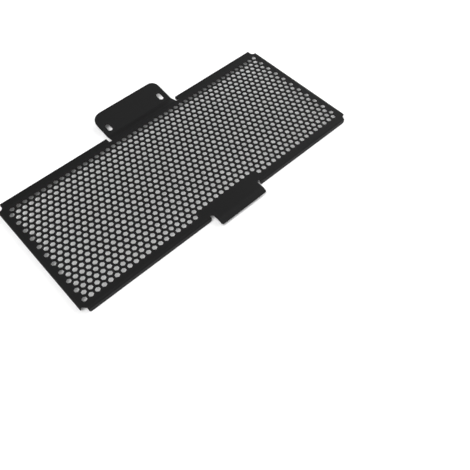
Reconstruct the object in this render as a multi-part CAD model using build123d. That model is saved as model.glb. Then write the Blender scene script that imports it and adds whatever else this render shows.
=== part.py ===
from build123d import *
import os
from math import cos, radians, sin, sqrt

# Radiator guard: one aluminium sheet, perforated, with its four rims and two tabs folded.
# +X runs along the long side, +Y towards the slotted tab, +Z out of the front face.
# The guard lies on the free edges of its two long rims. All sizes are in millimetres.

# Sheet
SHEET = 1.2
BEND_RADIUS = 1.0

# Panel, measured over the outer faces of the rims, and the rims of its long and short sides
PANEL_LENGTH = 367.0
PANEL_WIDTH = 162.9
RIM_DEPTH = 6.9
RIM_CORNER = 3.0
SIDE_RIM_DEPTH = 4.6
SIDE_RIM_CORNER = 1.5

# Reliefs where the bends of two rims would cross: slanted at the near corners, slots at the far ones
NEAR_RELIEF = 3.8
FAR_RELIEF = 4.0
FAR_SIDE_RELIEF = 7.0

# Staggered field of hexagonal openings, and the solid sheet left around it
HOLE_PITCH = 12.9
HOLE_FLATS = 8.6
SIDE_MARGIN = 7.0
NEAR_MARGIN = 7.25
FAR_MARGIN = 9.65

# Both tabs share one centre line, a little off the middle of the panel
TAB_OFFSET = 7.5

# Slotted tab on the far side: a dip at its root, then a plain run that rises
FAR_TAB_WIDTH = 92.5
FAR_TAB_SLIT = 4.0
FAR_TAB_ROOT = 5.25
FAR_TAB_LEAD = 1.0
FAR_TAB_DIP_RUN = 9.2
FAR_TAB_DIP_ANGLE = 16.0
FAR_TAB_RUN = 33.4
FAR_TAB_RISE_ANGLE = 10.0
FAR_TAB_LEFT_CORNER = 13.0
FAR_TAB_RIGHT_CORNER = 9.0

# Slots for the fixing bolts, along the run of the far tab
SLOT_SPACING = 74.5
SLOT_LENGTH = 10.0
SLOT_WIDTH = 5.5
SLOT_FROM_BEND = 10.0

# Plain tab on the near side: a flat run, then a lip that turns down in a soft bend
NEAR_TAB_WIDTH = 62.7
NEAR_TAB_SLIT = 3.6
NEAR_TAB_RUN = 8.6
NEAR_TAB_LIP = 7.0
NEAR_TAB_LIP_ANGLE = 22.0
NEAR_TAB_LIP_RADIUS = 5.0
NEAR_TAB_CORNER = 2.0

# Derived sizes
OUTER_RADIUS = BEND_RADIUS + SHEET
FLAT_HALF_LENGTH = PANEL_LENGTH / 2 - OUTER_RADIUS
FLAT_HALF_WIDTH = PANEL_WIDTH / 2 - OUTER_RADIUS
ROOT_Y = FLAT_HALF_WIDTH - FAR_TAB_ROOT
HOLE_CORNER = HOLE_FLATS / sqrt(3)
ROW_PITCH = HOLE_PITCH * sqrt(3) / 2


def hole_centres():
    """Centres of the staggered openings: rows along X, shifted half a pitch by turns."""
    field_length = PANEL_LENGTH - 2 * SIDE_MARGIN - HOLE_FLATS
    field_width = PANEL_WIDTH - NEAR_MARGIN - FAR_MARGIN - 2 * HOLE_CORNER
    columns = int(field_length / HOLE_PITCH - 0.5) + 1
    rows = int(field_width / ROW_PITCH) + 1
    first_x = -(columns - 0.5) * HOLE_PITCH / 2
    first_y = -PANEL_WIDTH / 2 + NEAR_MARGIN + HOLE_CORNER
    blank_half = NEAR_TAB_WIDTH / 2 + NEAR_TAB_SLIT + HOLE_FLATS / 2
    centres = []
    for row in range(rows):
        shift = HOLE_PITCH / 2 if row % 2 else 0
        for column in range(columns):
            x = first_x + shift + column * HOLE_PITCH
            above_near_tab = row == 0 and abs(x - TAB_OFFSET) < blank_half
            if not above_near_tab:
                centres.append((x, first_y + row * ROW_PITCH))
    return centres


def panel():
    """The flat perforated sheet inside the bends, with its corner reliefs and the root of the far tab."""
    outline = Rectangle(2 * FLAT_HALF_LENGTH, 2 * FLAT_HALF_WIDTH)
    outline = chamfer(outline.vertices().group_by(Axis.Y)[0], NEAR_RELIEF)
    for side in (-1, 1):
        relief = SlotOverall(2 * FAR_SIDE_RELIEF, 2 * FAR_RELIEF, rotation=90)
        outline -= Pos(side * FLAT_HALF_LENGTH, FLAT_HALF_WIDTH) * relief
    root_cut = Rectangle(FAR_TAB_WIDTH + 2 * FAR_TAB_SLIT, FAR_TAB_ROOT, align=(Align.CENTER, Align.MIN))
    outline -= Pos(TAB_OFFSET, ROOT_Y) * root_cut
    opening = RegularPolygon(HOLE_FLATS / 2, 6, major_radius=False, rotation=30)
    openings = [(Pos(x, y) * opening).wire() for x, y in hole_centres()]
    sheet = Face(outline.wire(), openings)
    return Pos(0, 0, RIM_DEPTH - SHEET) * extrude(sheet, SHEET, dir=(0, 0, 1))


def rim(start, end, depth, corner):
    """A bend and its folded rim, from start to end along X, on the -Y side of the line Y = 0."""
    top = RIM_DEPTH
    low = top - depth
    centre = (0, top - OUTER_RADIUS)
    with BuildSketch(Plane.YZ) as section:
        with BuildLine():
            Line((0, top - SHEET), (0, top))
            CenterArc(centre, OUTER_RADIUS, 90, 90)
            Line((-OUTER_RADIUS, top - OUTER_RADIUS), (-OUTER_RADIUS, low))
            Line((-OUTER_RADIUS, low), (-BEND_RADIUS, low))
            Line((-BEND_RADIUS, low), (-BEND_RADIUS, top - OUTER_RADIUS))
            CenterArc(centre, BEND_RADIUS, 180, -90)
        make_face()
    strip = Pos(start, 0, 0) * extrude(section.sketch, end - start, dir=(1, 0, 0))
    free_corners = strip.edges().filter_by(Axis.Y).group_by(Axis.Z)[0]
    return fillet(free_corners, corner)


def long_rim(start, end):
    """A rim of a long side, which the guard can lie on."""
    return rim(start, end, RIM_DEPTH, RIM_CORNER)


def side_rim(start, end):
    """A rim of a short side, about half as deep."""
    return rim(start, end, SIDE_RIM_DEPTH, SIDE_RIM_CORNER)


def rims():
    """The rims of the four sides; those of the long sides stop beside the tabs."""
    near_half = NEAR_TAB_WIDTH / 2 + NEAR_TAB_SLIT
    far_half = FAR_TAB_WIDTH / 2 + FAR_TAB_SLIT
    near_end = FLAT_HALF_LENGTH - NEAR_RELIEF
    far_end = FLAT_HALF_LENGTH - FAR_RELIEF
    near_side = Pos(0, -FLAT_HALF_WIDTH, 0)
    far_side = Pos(0, FLAT_HALF_WIDTH, 0) * Rot(0, 0, 180)
    left_side = Pos(-FLAT_HALF_LENGTH, 0, 0) * Rot(0, 0, -90)
    right_side = Pos(FLAT_HALF_LENGTH, 0, 0) * Rot(0, 0, 90)
    low_y = -FLAT_HALF_WIDTH + NEAR_RELIEF
    high_y = FLAT_HALF_WIDTH - FAR_SIDE_RELIEF
    return [
        near_side * long_rim(-near_end, TAB_OFFSET - near_half),
        near_side * long_rim(TAB_OFFSET + near_half, near_end),
        far_side * long_rim(-far_end, -TAB_OFFSET - far_half),
        far_side * long_rim(-TAB_OFFSET + far_half, far_end),
        left_side * side_rim(-high_y, -low_y),
        right_side * side_rim(low_y, high_y),
    ]


def fold_points(runs):
    """Corners of the front face of a folded strip in its section, from runs of (length, angle)."""
    points = [Vector(0, 0)]
    for length, angle in runs:
        step = Vector(length * cos(radians(angle)), length * sin(radians(angle)))
        points.append(points[-1] + step)
    return points


def folded_strip(width, runs, radius):
    """A strip of sheet that starts at Y = 0 under Z = 0 and follows the runs; its folds have the radius."""
    front = fold_points(runs)
    angles = [angle for _, angle in runs]
    back = []
    for index, point in enumerate(front):
        before = angles[max(index - 1, 0)]
        after = angles[min(index, len(runs) - 1)]
        lean = radians((before + after) / 2)
        reach = SHEET / cos(radians((after - before) / 2))
        back.append(point + Vector(sin(lean), -cos(lean)) * reach)
    section = Plane.YZ * Polygon(*front, *reversed(back), align=None)
    strip = extrude(section, width / 2, both=True)
    for index in range(1, len(runs)):
        rises = angles[index] > angles[index - 1]
        inner, outer = (front, back) if rises else (back, front)
        for corner, size in ((inner[index], radius), (outer[index], radius + SHEET)):
            fold = strip.edges().filter_by(Axis.X).sort_by_distance((0, corner.X, corner.Y))[0]
            strip = fillet(fold, size)
    return strip


def end_corner(strip, side):
    """The edge through the sheet at one outer corner of a strip, on the given side of its middle."""
    across = strip.faces().sort_by(Axis.Y)[-1].edges()
    return across.filter_by(Axis.X, reverse=True).sort_by(Axis.X)[0 if side < 0 else -1]


def far_tab():
    """The slotted tab, which dips at its root and then rises away from the panel."""
    runs = [
        (FAR_TAB_LEAD, 0),
        (FAR_TAB_DIP_RUN, -FAR_TAB_DIP_ANGLE),
        (FAR_TAB_RUN, FAR_TAB_RISE_ANGLE),
    ]
    strip = folded_strip(FAR_TAB_WIDTH, runs, BEND_RADIUS)
    strip = fillet(end_corner(strip, -1), FAR_TAB_LEFT_CORNER)
    strip = fillet(end_corner(strip, 1), FAR_TAB_RIGHT_CORNER)
    bend = fold_points(runs)[2]
    rise = radians(FAR_TAB_RISE_ANGLE)
    along = Vector(0, cos(rise), sin(rise))
    middle = Vector(0, bend.X, bend.Y) + along * SLOT_FROM_BEND
    face = Plane(origin=middle, x_dir=along, z_dir=(0, -sin(rise), cos(rise)))
    for side in (-1, 1):
        slot = face * Pos(0, side * SLOT_SPACING / 2) * SlotOverall(SLOT_LENGTH, SLOT_WIDTH)
        strip -= extrude(slot, 2 * SHEET, both=True)
    return Pos(TAB_OFFSET, ROOT_Y, RIM_DEPTH) * strip


def near_tab():
    """The plain tab, flat at first, with a lip that turns down."""
    runs = [(NEAR_TAB_RUN, 0), (NEAR_TAB_LIP, -NEAR_TAB_LIP_ANGLE)]
    strip = folded_strip(NEAR_TAB_WIDTH, runs, NEAR_TAB_LIP_RADIUS)
    for side in (-1, 1):
        strip = fillet(end_corner(strip, side), NEAR_TAB_CORNER)
    return Pos(TAB_OFFSET, -FLAT_HALF_WIDTH, RIM_DEPTH) * Rot(0, 0, 180) * strip


def radiator_guard():
    """The whole folded sheet as one solid, with its origin under the middle of its box."""
    sheet = panel() + rims() + [far_tab(), near_tab()]
    box = sheet.bounding_box()
    return Pos(0, -box.center().Y, -box.min.Z) * sheet


os.makedirs("parts", exist_ok=True)
export_step(radiator_guard(), "parts/radiator_guard.step")
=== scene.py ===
from math import atan2, ceil, copysign, cos, degrees, radians, sin, sqrt, tan

import bpy
from mathutils import Matrix, Quaternion, Vector
from mathutils.geometry import delaunay_2d_cdt


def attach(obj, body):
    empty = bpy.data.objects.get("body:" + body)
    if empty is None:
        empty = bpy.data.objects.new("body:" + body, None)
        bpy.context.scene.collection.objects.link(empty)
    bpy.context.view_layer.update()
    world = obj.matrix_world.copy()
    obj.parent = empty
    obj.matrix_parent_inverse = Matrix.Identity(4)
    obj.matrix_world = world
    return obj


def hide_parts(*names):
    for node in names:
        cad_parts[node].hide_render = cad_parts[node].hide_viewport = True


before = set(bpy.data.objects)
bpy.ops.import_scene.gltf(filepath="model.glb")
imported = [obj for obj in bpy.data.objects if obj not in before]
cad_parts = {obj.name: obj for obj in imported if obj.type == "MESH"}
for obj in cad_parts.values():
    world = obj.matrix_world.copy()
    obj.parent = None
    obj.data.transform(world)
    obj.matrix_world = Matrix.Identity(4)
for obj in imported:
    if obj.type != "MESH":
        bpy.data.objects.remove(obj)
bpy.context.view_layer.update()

# The guard is laid out as a flat blank in millimetres,
# cut and punched, and then folded as the real sheet is.
MM = 0.001

# Sheet
SHEET = 1.2
BEND_RADIUS = 1.0
OUTER_RADIUS = BEND_RADIUS + SHEET
EDGE_ROUND = 0.22
FOLD_STEP = 11.25
CORNER_STEP = 12.0

# Panel, over the outer faces of the rims, and the rims
PANEL_LENGTH = 367.0
PANEL_WIDTH = 162.9
RIM_DEPTH = 6.9
RIM_CORNER = 3.0
SIDE_RIM_DEPTH = 4.6
SIDE_RIM_CORNER = 1.5
NEAR_RELIEF = 3.8
FAR_RELIEF = 4.0
FAR_SIDE_RELIEF = 7.0
HALF_LENGTH = PANEL_LENGTH / 2 - OUTER_RADIUS
HALF_WIDTH = PANEL_WIDTH / 2 - OUTER_RADIUS

# Honeycomb field of the real sheet
COLUMNS = 47
ROWS = 22
HOLE_PITCH = 7.5
HOLE_FLATS = 5.0
HOLE_CORNER = 0.4
NEAR_ROW = 11.5
BLANK_HALF = 41.2

# Tabs
TAB_OFFSET = 7.5
SLIT_DEPTH = 0.6
SLIT_CORNER = 0.6
FAR_TAB_WIDTH = 92.5
FAR_TAB_SLIT = 4.0
FAR_TAB_SETBACK = 5.25
FAR_TAB_ROOT = HALF_WIDTH - FAR_TAB_SETBACK
FAR_TAB_LEAD = 1.0
FAR_TAB_DIP_RUN = 9.2
FAR_TAB_DIP_ANGLE = 16.0
FAR_TAB_RUN = 33.4
FAR_TAB_RISE_ANGLE = 10.0
FAR_TAB_LEFT_CORNER = 13.0
FAR_TAB_RIGHT_CORNER = 9.0
NEAR_TAB_WIDTH = 62.7
NEAR_TAB_SLIT = 3.6
NEAR_TAB_ROOT_CORNER = 2.8
NEAR_TAB_RUN = 8.6
NEAR_TAB_LIP = 7.0
NEAR_TAB_LIP_ANGLE = 22.0
NEAR_TAB_LIP_RADIUS = 5.0
NEAR_TAB_CORNER = 2.0

# Slots of the far tab
SLOT_SPACING = 74.5
SLOT_LENGTH = 10.0
SLOT_WIDTH = 5.5
SLOT_CORNER = 2.7
SLOT_FROM_BEND = 10.0

# Two places closer than this are one, and so many decimals tell the points of the outline apart
SNAP = 1e-5
DECIMALS = 3

# The blank is divided into triangles inside its outline only, with points merged within a distance
INSIDE_ONLY = 1
MERGE = 1e-7

# Powder coat: a soft cloud varies its colour and roughness, and a fine orange peel its surface
COAT_SPECULAR = 0.24
COAT_DARK = (0.0012, 0.0012, 0.0013, 1)
COAT_PALE = (0.0022, 0.0022, 0.0023, 1)
COAT_ROUGHNESS = {"To Min": 0.58, "To Max": 0.70}
COAT_CLOUD = {"Scale": 45.0, "Detail": 4.0, "Roughness": 0.6}
COAT_PEEL = {"Scale": 1100.0, "Detail": 2.0, "Roughness": 0.5}
COAT_RELIEF = {"Strength": 0.25, "Distance": 0.00008}

# Floor: half its side in metres, its colour, and the white added to what is seen of it
FLOOR_HALF = 8.0
FLOOR_COLOUR = 0.95
FLOOR_LIFT = 0.05
WHITE = (1, 1, 1, 1)

# Camera, with its places in metres
CAMERA_PLACE = Vector((-0.22475, -0.34244, 0.46047))
CAMERA_AIM = Vector((-0.02132, -0.12113, 0.0))
CAMERA_ROLL = radians(-0.272)
CAMERA_LENS = 41.716
CAMERA_NEAREST = 0.01

# Light: a broad lamp over the left of the guard,
# and a soft room that is bright on the right and white at the horizon
LAMP_TOWARDS = Vector((-0.50, -0.10, 1.0))
LAMP_ANGLE = radians(45)
LAMP_STRENGTH = 2.85
ROOM_TOWARDS = Vector((0.95, -0.06, 0.3))
ROOM_SPREAD = 9.0
ROOM_LEVEL = 3.6
HORIZON_LOW = 0.15
HORIZON_HIGH = 0.26


class Strip:
    """A part of the blank that folds out of the panel's plane beyond a line across it."""

    def __init__(self, out, line, low, high, runs, radius=BEND_RADIUS):
        """It leaves the panel along out, beyond the distance line, between low and high across it."""
        self.out = Vector(out)
        self.line = line
        self.low = low
        self.high = high
        self.across = Vector((abs(self.out.y), abs(self.out.x)))
        self.pieces = []
        self.length = 0.0
        self.corners = []
        slopes = [radians(angle) for _, angle in runs]
        turns = [after - before for before, after in zip(slopes, slopes[1:])]
        radii = [radius if turn > 0 else radius + SHEET for turn in turns]
        cuts = [size * tan(abs(turn) / 2) for turn, size in zip(turns, radii)]
        for index, (run, _) in enumerate(runs):
            before = cuts[index - 1] if index else 0.0
            after = cuts[index] if index < len(turns) else 0.0
            self.extend(run - before - after, slopes[index], 0.0)
            if index < len(turns):
                self.corners.append(self.length + after)
                bend = copysign(1 / radii[index], turns[index])
                self.extend(radii[index] * abs(turns[index]), slopes[index], bend)

    def extend(self, length, slope, bend):
        """Adds a straight or evenly bent piece to the strip's section."""
        reach, height, _ = self.section(self.length) if self.pieces else (0.0, 0.0, 0.0)
        self.pieces.append((self.length, reach, height, slope, bend))
        self.length += length

    def section(self, beyond):
        """Distance out, height and slope of the front face after a length of sheet beyond the line."""
        start, reach, height, slope, bend = [piece for piece in self.pieces if piece[0] <= beyond][-1]
        step = beyond - start
        if bend == 0:
            return reach + step * cos(slope), height + step * sin(slope), slope
        turned = slope + bend * step
        reach += (sin(turned) - sin(slope)) / bend
        height -= (cos(turned) - cos(slope)) / bend
        return reach, height, turned

    def creases(self):
        """Lengths of sheet beyond the line at which the folds are divided into flat steps."""
        ends = [piece[0] for piece in self.pieces[1:]] + [self.length]
        found = []
        for (start, _, _, _, bend), end in zip(self.pieces, ends):
            if bend:
                steps = ceil(degrees(abs(bend) * (end - start)) / FOLD_STEP - SNAP)
                found += [start + (end - start) * step / steps for step in range(steps + 1)]
        return found

    def place(self, point):
        """How far a point of the blank lies across the strip, and how far beyond its line."""
        return point.dot(self.across), point.dot(self.out) - self.line

    def spans(self, across):
        """Whether a place across the strip lies between its two sides."""
        return self.low - SNAP <= across <= self.high + SNAP


RIM_RUNS = [(OUTER_RADIUS, 0), (RIM_DEPTH, -90)]
SIDE_RIM_RUNS = [(OUTER_RADIUS, 0), (SIDE_RIM_DEPTH, -90)]
FAR_TAB_RUNS = [
    (FAR_TAB_LEAD, 0),
    (FAR_TAB_DIP_RUN, -FAR_TAB_DIP_ANGLE),
    (FAR_TAB_RUN, FAR_TAB_RISE_ANGLE),
]
NEAR_TAB_RUNS = [(NEAR_TAB_RUN, 0), (NEAR_TAB_LIP, -NEAR_TAB_LIP_ANGLE)]

NEAR, FAR, LEFT, RIGHT = (0, -1), (0, 1), (-1, 0), (1, 0)
NEAR_END = HALF_LENGTH - NEAR_RELIEF
FAR_END = HALF_LENGTH - FAR_RELIEF
LOW_SIDE = -HALF_WIDTH + NEAR_RELIEF
HIGH_SIDE = HALF_WIDTH - FAR_SIDE_RELIEF
NEAR_TAB_LOW = TAB_OFFSET - NEAR_TAB_WIDTH / 2
NEAR_TAB_HIGH = TAB_OFFSET + NEAR_TAB_WIDTH / 2
FAR_TAB_LOW = TAB_OFFSET - FAR_TAB_WIDTH / 2
FAR_TAB_HIGH = TAB_OFFSET + FAR_TAB_WIDTH / 2

near_left_rim = Strip(NEAR, HALF_WIDTH, -NEAR_END, NEAR_TAB_LOW - NEAR_TAB_SLIT, RIM_RUNS)
near_right_rim = Strip(NEAR, HALF_WIDTH, NEAR_TAB_HIGH + NEAR_TAB_SLIT, NEAR_END, RIM_RUNS)
far_left_rim = Strip(FAR, HALF_WIDTH, -FAR_END, FAR_TAB_LOW - FAR_TAB_SLIT, RIM_RUNS)
far_right_rim = Strip(FAR, HALF_WIDTH, FAR_TAB_HIGH + FAR_TAB_SLIT, FAR_END, RIM_RUNS)
left_rim = Strip(LEFT, HALF_LENGTH, LOW_SIDE, HIGH_SIDE, SIDE_RIM_RUNS)
right_rim = Strip(RIGHT, HALF_LENGTH, LOW_SIDE, HIGH_SIDE, SIDE_RIM_RUNS)
near_tab = Strip(NEAR, HALF_WIDTH, NEAR_TAB_LOW, NEAR_TAB_HIGH, NEAR_TAB_RUNS, NEAR_TAB_LIP_RADIUS)
far_tab = Strip(FAR, FAR_TAB_ROOT, FAR_TAB_LOW, FAR_TAB_HIGH, FAR_TAB_RUNS)
strips = [
    near_left_rim, near_right_rim, far_left_rim, far_right_rim,
    left_rim, right_rim, near_tab, far_tab,
]


def rounded_loop(corners, step=CORNER_STEP):
    """Points round a closed loop, each with the direction that leads out of the sheet there.

    A corner is (x, y, radius), and the sheet lies on the left all the way round.
    """
    places = [Vector((x, y)) for x, y, _ in corners]
    loop = []
    for index, (_, _, radius) in enumerate(corners):
        corner = places[index]
        came = (corner - places[index - 1]).normalized()
        goes = (places[(index + 1) % len(places)] - corner).normalized()
        turn = atan2(came.cross(goes), came.dot(goes))
        side = copysign(1, turn)
        away = Vector((came.y, -came.x))
        start = corner - came * radius * tan(abs(turn) / 2)
        centre = start - away * radius * side
        steps = max(1, ceil(degrees(abs(turn)) / step - SNAP))
        for number in range(steps + 1):
            normal = Matrix.Rotation(turn * number / steps, 2) @ away
            loop.append((centre + normal * radius * side, normal))
    return loop


def blank_outline():
    """The outline of the whole blank, with rims and tabs folded flat."""
    rim = near_left_rim.length
    near_edge = -HALF_WIDTH - rim
    far_edge = HALF_WIDTH + rim
    side_edge = HALF_LENGTH + left_rim.length
    near_slit = -HALF_WIDTH + SLIT_DEPTH
    near_tab_edge = -HALF_WIDTH - near_tab.length
    far_tab_edge = FAR_TAB_ROOT + far_tab.length
    slant = SLIT_CORNER * tan(radians(45) / 2)
    return rounded_loop([
        (-HALF_LENGTH + slant, LOW_SIDE, SLIT_CORNER),
        (-NEAR_END, -HALF_WIDTH + slant, SLIT_CORNER),
        (-NEAR_END, near_edge, RIM_CORNER),
        (near_left_rim.high, near_edge, RIM_CORNER),
        (near_left_rim.high, near_slit, SLIT_CORNER),
        (NEAR_TAB_LOW, near_slit, NEAR_TAB_ROOT_CORNER),
        (NEAR_TAB_LOW, near_tab_edge, NEAR_TAB_CORNER),
        (NEAR_TAB_HIGH, near_tab_edge, NEAR_TAB_CORNER),
        (NEAR_TAB_HIGH, near_slit, NEAR_TAB_ROOT_CORNER),
        (near_right_rim.low, near_slit, SLIT_CORNER),
        (near_right_rim.low, near_edge, RIM_CORNER),
        (NEAR_END, near_edge, RIM_CORNER),
        (NEAR_END, -HALF_WIDTH + slant, SLIT_CORNER),
        (HALF_LENGTH - slant, LOW_SIDE, SLIT_CORNER),
        (side_edge, LOW_SIDE, SIDE_RIM_CORNER),
        (side_edge, HIGH_SIDE, SIDE_RIM_CORNER),
        (FAR_END, HIGH_SIDE, FAR_RELIEF),
        (FAR_END, far_edge, RIM_CORNER),
        (far_right_rim.low, far_edge, RIM_CORNER),
        (far_right_rim.low, FAR_TAB_ROOT, SLIT_CORNER),
        (FAR_TAB_HIGH, FAR_TAB_ROOT, SLIT_CORNER),
        (FAR_TAB_HIGH, far_tab_edge, FAR_TAB_RIGHT_CORNER),
        (FAR_TAB_LOW, far_tab_edge, FAR_TAB_LEFT_CORNER),
        (FAR_TAB_LOW, FAR_TAB_ROOT, SLIT_CORNER),
        (far_left_rim.high, FAR_TAB_ROOT, SLIT_CORNER),
        (far_left_rim.high, far_edge, RIM_CORNER),
        (-FAR_END, far_edge, RIM_CORNER),
        (-FAR_END, HIGH_SIDE, FAR_RELIEF),
        (-side_edge, HIGH_SIDE, SIDE_RIM_CORNER),
        (-side_edge, LOW_SIDE, SIDE_RIM_CORNER),
    ])


def cut_at_folds(loop):
    """The loop with a point added wherever the side of a strip crosses a crease of its folds."""
    cut = []
    for index, (point, normal) in enumerate(loop):
        after, _ = loop[(index + 1) % len(loop)]
        cut.append((point, normal))
        for strip in strips:
            across, beyond = strip.place(point)
            across_after, beyond_after = strip.place(after)
            if abs(across - across_after) > SNAP or not strip.spans(across):
                continue
            low, high = sorted((beyond, beyond_after))
            crossed = [crease for crease in strip.creases() if low + SNAP < crease < high - SNAP]
            for crease in sorted(crossed, reverse=beyond > beyond_after):
                share = (crease - beyond) / (beyond_after - beyond)
                cut.append((point.lerp(after, share), normal))
    return cut


def openings():
    """Loops of the hexagonal openings, staggered row by row, with a blank above the near tab."""
    row_pitch = HOLE_PITCH * sqrt(3) / 2
    reach = HOLE_FLATS / sqrt(3)
    first_x = -(COLUMNS - 0.5) * HOLE_PITCH / 2
    first_y = -PANEL_WIDTH / 2 + NEAR_ROW
    turns = [radians(90 - 60 * corner) for corner in range(6)]
    corners = [(reach * cos(turn), reach * sin(turn), HOLE_CORNER) for turn in turns]
    hexagon = rounded_loop(corners, step=60)
    loops = []
    for row in range(ROWS):
        for column in range(COLUMNS):
            x = first_x + (column + 0.5 * (row % 2)) * HOLE_PITCH
            if row > 0 or abs(x - TAB_OFFSET) > BLANK_HALF:
                centre = Vector((x, first_y + row * row_pitch))
                loops.append([(centre + point, normal) for point, normal in hexagon])
    return loops


def slots():
    """Loops of the two slots, which run along the far tab beyond its dip."""
    middle = FAR_TAB_ROOT + far_tab.corners[1] + SLOT_FROM_BEND
    low, high = middle - SLOT_LENGTH / 2, middle + SLOT_LENGTH / 2
    loops = []
    for side in (-1, 1):
        left = TAB_OFFSET + side * SLOT_SPACING / 2 - SLOT_WIDTH / 2
        right = left + SLOT_WIDTH
        corners = [(left, low), (left, high), (right, high), (right, low)]
        loops.append(rounded_loop([(x, y, SLOT_CORNER) for x, y in corners]))
    return loops


def folded(point, edge, depth, lean):
    """Where a point of the blank comes to lie at a depth under the front, and its normal.

    The normal leans from the front towards edge, the direction out of the sheet, by the angle lean.
    """
    place, across, out = Vector((point.x, point.y, 0)), Vector((1, 0)), Vector((0, 1))
    along, front = Vector((0, 1, 0)), Vector((0, 0, 1))
    for strip in strips:
        offset, beyond = strip.place(point)
        if beyond > 0 and strip.spans(offset):
            reach, height, slope = strip.section(beyond)
            across, out = strip.across, strip.out
            place = (across * offset + out * (strip.line + reach)).to_3d()
            place.z = height
            along = (out * cos(slope)).to_3d()
            along.z = sin(slope)
            front = (out * -sin(slope)).to_3d()
            front.z = cos(slope)
    sideways = across.to_3d() * edge.dot(across) + along * edge.dot(out)
    return place - front * depth, front * cos(lean) + sideways * sin(lean)


# Rings from the front of the sheet round its edge to the back: inset, depth and lean of the normal
ROUND_PART = EDGE_ROUND * (1 - sqrt(0.5))
RINGS = [
    (EDGE_ROUND, 0.0, radians(0)),
    (ROUND_PART, ROUND_PART, radians(45)),
    (0.0, EDGE_ROUND, radians(90)),
    (0.0, SHEET - EDGE_ROUND, radians(90)),
    (EDGE_ROUND, SHEET, radians(180)),
]


def spot(point):
    """The place of a point of the outline, rounded so that it can be looked up."""
    return round(point.x, DECIMALS), round(point.y, DECIMALS)


def blank_triangles(loops, rounds):
    """Triangles of the punched blank, as numbers of its points, with an edge along each crease."""
    outline = {spot(point): number for number, (point, _) in enumerate(loops[0])}
    creases = []
    for strip in strips:
        for beyond in strip.creases():
            fold = strip.out * (strip.line + beyond)
            ends = [strip.across * side + fold for side in (strip.low, strip.high)]
            creases.append([outline[spot(end)] for end in ends])
    inset = [point - normal * EDGE_ROUND for loop in loops for point, normal in loop]
    polygons = [rounds[0]] + [list(reversed(turn)) for turn in rounds[1:]]
    division = delaunay_2d_cdt(inset, creases, polygons, INSIDE_ONLY, MERGE)
    _, _, triangles, sources, _, owners = division
    return [
        [sources[corner][0] for corner in triangle]
        for triangle, owner in zip(triangles, owners) if owner == [0]
    ]


def guard_mesh():
    """The folded sheet as a mesh with round edges and exact normals."""
    loops = [cut_at_folds(blank_outline())] + slots() + openings()
    points = [point for loop in loops for point in loop]
    rounds = []
    for loop in loops:
        first = rounds[-1][-1] + 1 if rounds else 0
        rounds.append(list(range(first, first + len(loop))))
    sheet = blank_triangles(loops, rounds)

    places, normals = [], []
    for cut, depth, lean in RINGS:
        for point, edge in points:
            place, normal = folded(point - edge * cut, edge, depth, lean)
            places.append(place)
            normals.append(normal)
    count = len(points)
    back = count * (len(RINGS) - 1)
    faces = sheet + [[back + corner for corner in reversed(triangle)] for triangle in sheet]
    for ring in range(len(RINGS) - 1):
        upper, lower = count * ring, count * (ring + 1)
        for turn in rounds:
            for here, after in zip(turn, turn[1:] + turn[:1]):
                faces.append([upper + here, lower + here, lower + after, upper + after])

    middle = (min(place.y for place in places) + max(place.y for place in places)) / 2
    lowest = min(place.z for place in places)
    places = [(place - Vector((0, middle, lowest))) * MM for place in places]
    mesh = bpy.data.meshes.new("guard_sheet")
    mesh.from_pydata(places, [], faces)
    mesh.shade_smooth()
    mesh.normals_split_custom_set_from_vertices(normals)
    return mesh


def node(tree, kind, **settings):
    """A shader node with settings given as attributes or, in inputs, as values of its sockets."""
    made = tree.nodes.new(kind)
    inputs = settings.pop("inputs", {})
    for name, value in settings.items():
        setattr(made, name, value)
    for name, value in inputs.items():
        made.inputs[name].default_value = value
    return made


def powder_coat():
    """Black powder coat: matte, with a fine orange peel and slightly uneven gloss."""
    material = bpy.data.materials.new("powder_coat_black")
    material.use_nodes = True
    tree = material.node_tree
    link = tree.links.new
    shader = tree.nodes["Principled BSDF"]
    shader.inputs["Specular IOR Level"].default_value = COAT_SPECULAR
    place = node(tree, "ShaderNodeTexCoord")

    cloud = node(tree, "ShaderNodeTexNoise", inputs=COAT_CLOUD)
    link(place.outputs["Object"], cloud.inputs["Vector"])
    tone = node(tree, "ShaderNodeMix", data_type="RGBA")
    tone.inputs["A"].default_value = COAT_DARK
    tone.inputs["B"].default_value = COAT_PALE
    link(cloud.outputs["Fac"], tone.inputs["Factor"])
    link(tone.outputs["Result"], shader.inputs["Base Color"])

    gloss = node(tree, "ShaderNodeMapRange", inputs=COAT_ROUGHNESS)
    link(cloud.outputs["Fac"], gloss.inputs["Value"])
    link(gloss.outputs["Result"], shader.inputs["Roughness"])

    peel = node(tree, "ShaderNodeTexNoise", inputs=COAT_PEEL)
    link(place.outputs["Object"], peel.inputs["Vector"])
    bump = node(tree, "ShaderNodeBump", inputs=COAT_RELIEF)
    link(peel.outputs["Fac"], bump.inputs["Height"])
    link(bump.outputs["Normal"], shader.inputs["Normal"])
    return material


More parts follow.
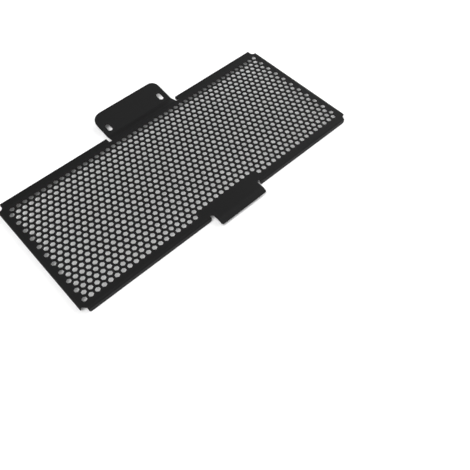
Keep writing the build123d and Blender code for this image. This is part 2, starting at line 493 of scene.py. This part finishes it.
def floor_white():
    """Pale floor that takes the shadow of the guard and looks white where it is open."""
    material = bpy.data.materials.new("floor_white")
    material.use_nodes = True
    tree = material.node_tree
    link = tree.links.new
    shader = tree.nodes["Principled BSDF"]
    shader.inputs["Base Color"].default_value = (FLOOR_COLOUR, FLOOR_COLOUR, FLOOR_COLOUR, 1)
    shader.inputs["Roughness"].default_value = 1.0
    shader.inputs["Specular IOR Level"].default_value = 0.0
    shader.inputs["Emission Color"].default_value = WHITE
    path = node(tree, "ShaderNodeLightPath")
    seen = node(tree, "ShaderNodeMath", operation="MAXIMUM")
    link(path.outputs["Is Camera Ray"], seen.inputs[0])
    link(path.outputs["Is Glossy Ray"], seen.inputs[1])
    shown = node(tree, "ShaderNodeMath", operation="MAXIMUM")
    link(seen.outputs["Value"], shown.inputs[0])
    link(path.outputs["Is Transmission Ray"], shown.inputs[1])
    lift = node(tree, "ShaderNodeMath", operation="MULTIPLY")
    lift.inputs[1].default_value = FLOOR_LIFT
    link(shown.outputs["Value"], lift.inputs[0])
    link(lift.outputs["Value"], shader.inputs["Emission Strength"])
    return material


def studio_world():
    """Soft studio light: bright towards one side, dim on the other, with a white horizon."""
    world = bpy.data.worlds.new("studio")
    world.use_nodes = True
    tree = world.node_tree
    link = tree.links.new
    background = tree.nodes["Background"]
    background.inputs["Color"].default_value = WHITE
    place = node(tree, "ShaderNodeTexCoord")
    facing = node(tree, "ShaderNodeVectorMath", operation="DOT_PRODUCT")
    facing.inputs[1].default_value = ROOM_TOWARDS.normalized()
    link(place.outputs["Generated"], facing.inputs[0])
    share = node(tree, "ShaderNodeMapRange", inputs={"From Min": -1.0, "From Max": 1.0})
    link(facing.outputs["Value"], share.inputs["Value"])
    falloff = node(tree, "ShaderNodeMath", operation="POWER")
    falloff.inputs[1].default_value = ROOM_SPREAD
    link(share.outputs["Result"], falloff.inputs[0])
    side = node(tree, "ShaderNodeMath", operation="MULTIPLY")
    side.inputs[1].default_value = ROOM_LEVEL
    link(falloff.outputs["Value"], side.inputs[0])

    parts = node(tree, "ShaderNodeSeparateXYZ")
    link(place.outputs["Generated"], parts.inputs["Vector"])
    horizon = node(tree, "ShaderNodeMapRange", inputs={
        "From Min": HORIZON_LOW, "From Max": HORIZON_HIGH, "To Min": 1.0, "To Max": 0.0,
    })
    link(parts.outputs["Z"], horizon.inputs["Value"])
    level = node(tree, "ShaderNodeMath", operation="MAXIMUM")
    link(side.outputs["Value"], level.inputs[0])
    link(horizon.outputs["Result"], level.inputs[1])
    link(level.outputs["Value"], background.inputs["Strength"])
    return world


guard = bpy.data.objects.new("guard_sheet", guard_mesh())
bpy.context.collection.objects.link(guard)
guard.data.materials.append(powder_coat())
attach(guard, "root")
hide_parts("radiator_guard")

floor_mesh = bpy.data.meshes.new("floor")
floor_turns = [(-1, -1), (1, -1), (1, 1), (-1, 1)]
floor_corners = [(FLOOR_HALF * x, FLOOR_HALF * y, 0) for x, y in floor_turns]
floor_mesh.from_pydata(floor_corners, [], [[0, 1, 2, 3]])
floor = bpy.data.objects.new("floor", floor_mesh)
bpy.context.collection.objects.link(floor)
floor.data.materials.append(floor_white())

bpy.context.scene.world = studio_world()

lamp = bpy.data.lights.new("key", "SUN")
lamp.energy = LAMP_STRENGTH
lamp.angle = LAMP_ANGLE
key = bpy.data.objects.new("key", lamp)
key.rotation_euler = LAMP_TOWARDS.to_track_quat("Z", "Y").to_euler()
bpy.context.collection.objects.link(key)

camera_data = bpy.data.cameras.new("camera")
camera_data.lens = CAMERA_LENS
camera_data.clip_start = CAMERA_NEAREST
camera = bpy.data.objects.new("camera", camera_data)
camera.location = CAMERA_PLACE
level_view = (CAMERA_AIM - CAMERA_PLACE).to_track_quat("-Z", "Y")
camera.rotation_euler = (level_view @ Quaternion((0, 0, 1), CAMERA_ROLL)).to_euler()
bpy.context.collection.objects.link(camera)
bpy.context.scene.camera = camera
bpy.context.scene.view_settings.view_transform = "Standard"
